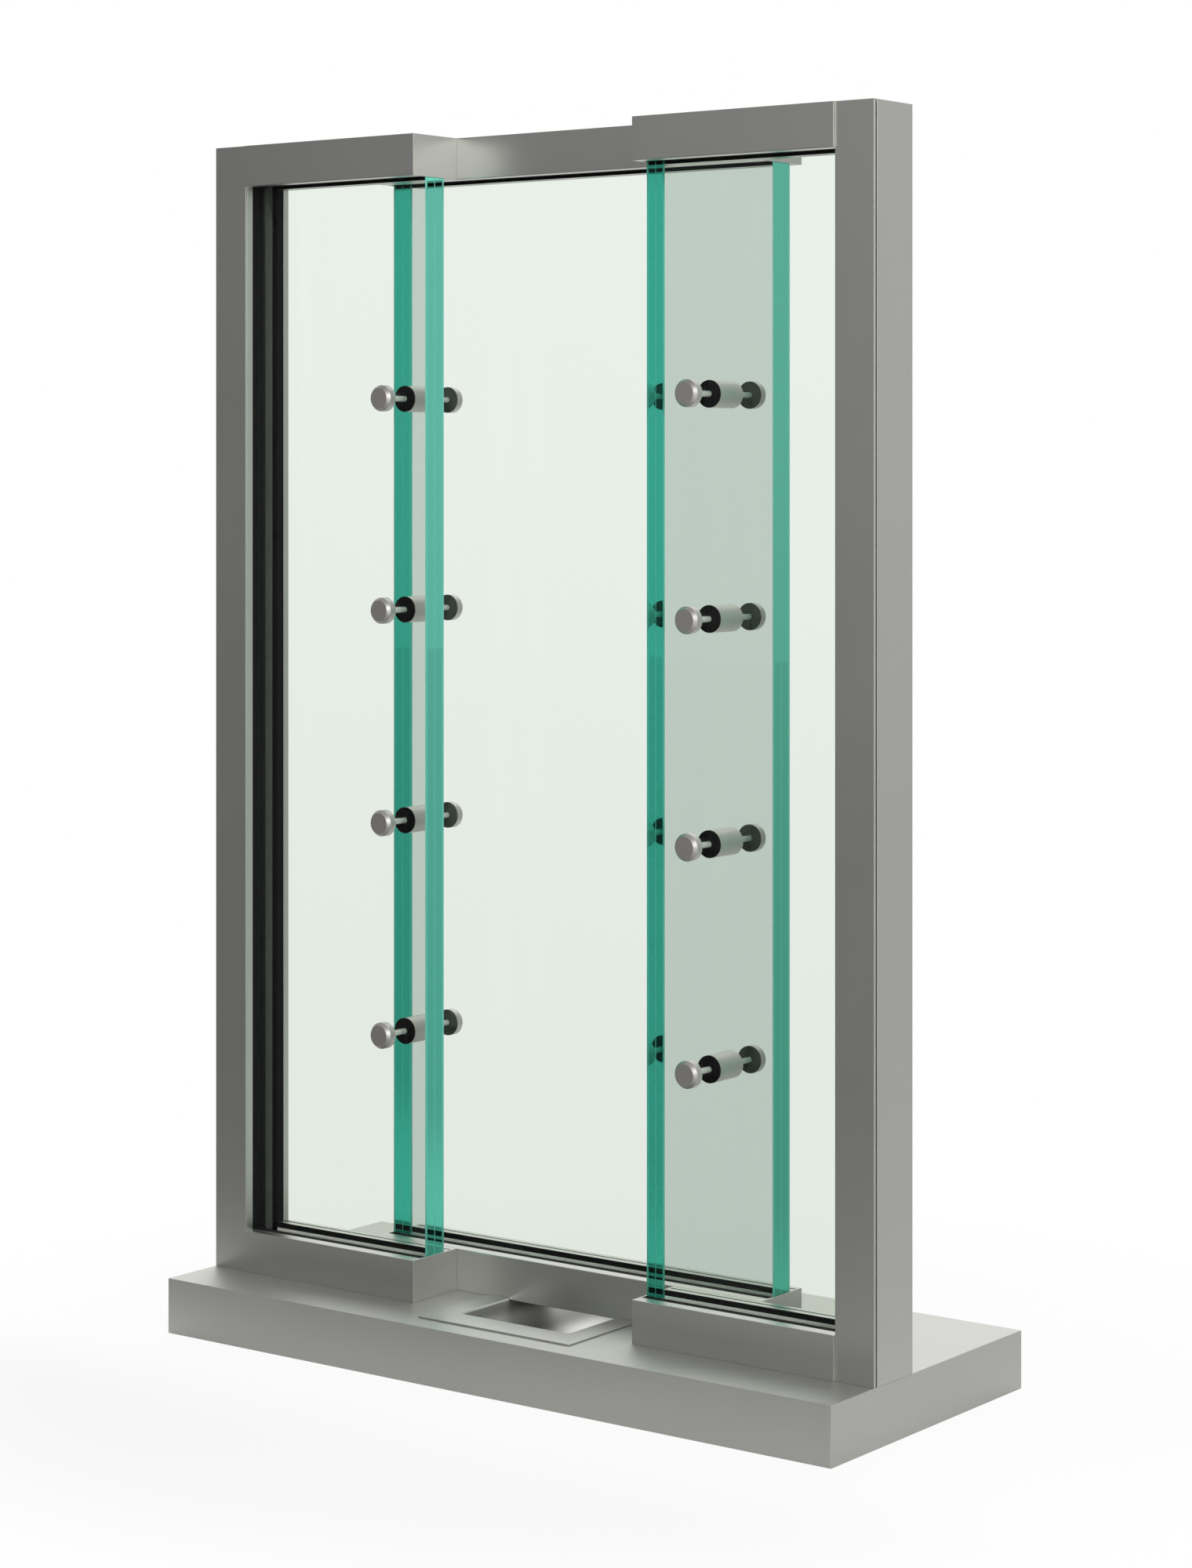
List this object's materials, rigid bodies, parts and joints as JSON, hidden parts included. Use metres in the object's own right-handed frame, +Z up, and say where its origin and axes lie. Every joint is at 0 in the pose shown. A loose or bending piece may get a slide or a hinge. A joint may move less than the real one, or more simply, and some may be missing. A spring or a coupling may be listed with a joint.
{
  "type": "baffled transaction window",
  "caption": "Free-standing teller window: side glass panes stand before a lapped centre pane on standoffs, in a steel frame on a counter shelf with a scooped deal tray.",
  "frame": {"origin": "under the middle of the shelf, at the level that it rests on", "axes": "+Z up, -Y towards the customer, +X to the customer's right"},
  "size_m": [0.9144, 0.381, 1.3811],
  "materials": {
    "satin_stainless": "satin brushed",
    "turned_steel": "fine turned",
    "laminated_glass": "clear with green edges",
    "black_rubber": "matt",
    "grey_foam": "matt"
  },
  "bodies": {
    "root": {"shelf": "satin_stainless", "deal_tray": "satin_stainless", "left_jamb": "satin_stainless", "left_jamb_face": "satin_stainless", "left_sill": "satin_stainless", "left_head": "satin_stainless", "left_sill_bead": "satin_stainless", "left_head_bead": "satin_stainless", "left_pane": "laminated_glass", "left_setting_blocks": "black_rubber", "left_front_gasket": "black_rubber", "left_rear_gasket": "black_rubber", "left_backer": "grey_foam", "left_front_caps": "turned_steel", "left_studs": "turned_steel", "left_spacers": "turned_steel", "left_rear_caps": "turned_steel", "left_washers": "black_rubber", "right_jamb": "satin_stainless", "right_jamb_face": "satin_stainless", "right_sill": "satin_stainless", "right_head": "satin_stainless", "right_sill_bead": "satin_stainless", "right_head_bead": "satin_stainless", "right_pane": "laminated_glass", "right_setting_blocks": "black_rubber", "right_front_gasket": "black_rubber", "right_rear_gasket": "black_rubber", "right_backer": "grey_foam", "right_front_caps": "turned_steel", "right_studs": "turned_steel", "right_spacers": "turned_steel", "right_rear_caps": "turned_steel", "right_washers": "black_rubber", "centre_sill": "satin_stainless", "centre_head": "satin_stainless", "centre_sill_bead": "satin_stainless", "centre_head_bead": "satin_stainless", "centre_pane": "laminated_glass", "centre_setting_blocks": "black_rubber", "centre_front_gasket": "black_rubber", "centre_rear_gasket": "black_rubber", "centre_backer": "grey_foam"}
  },
  "joints": []
}
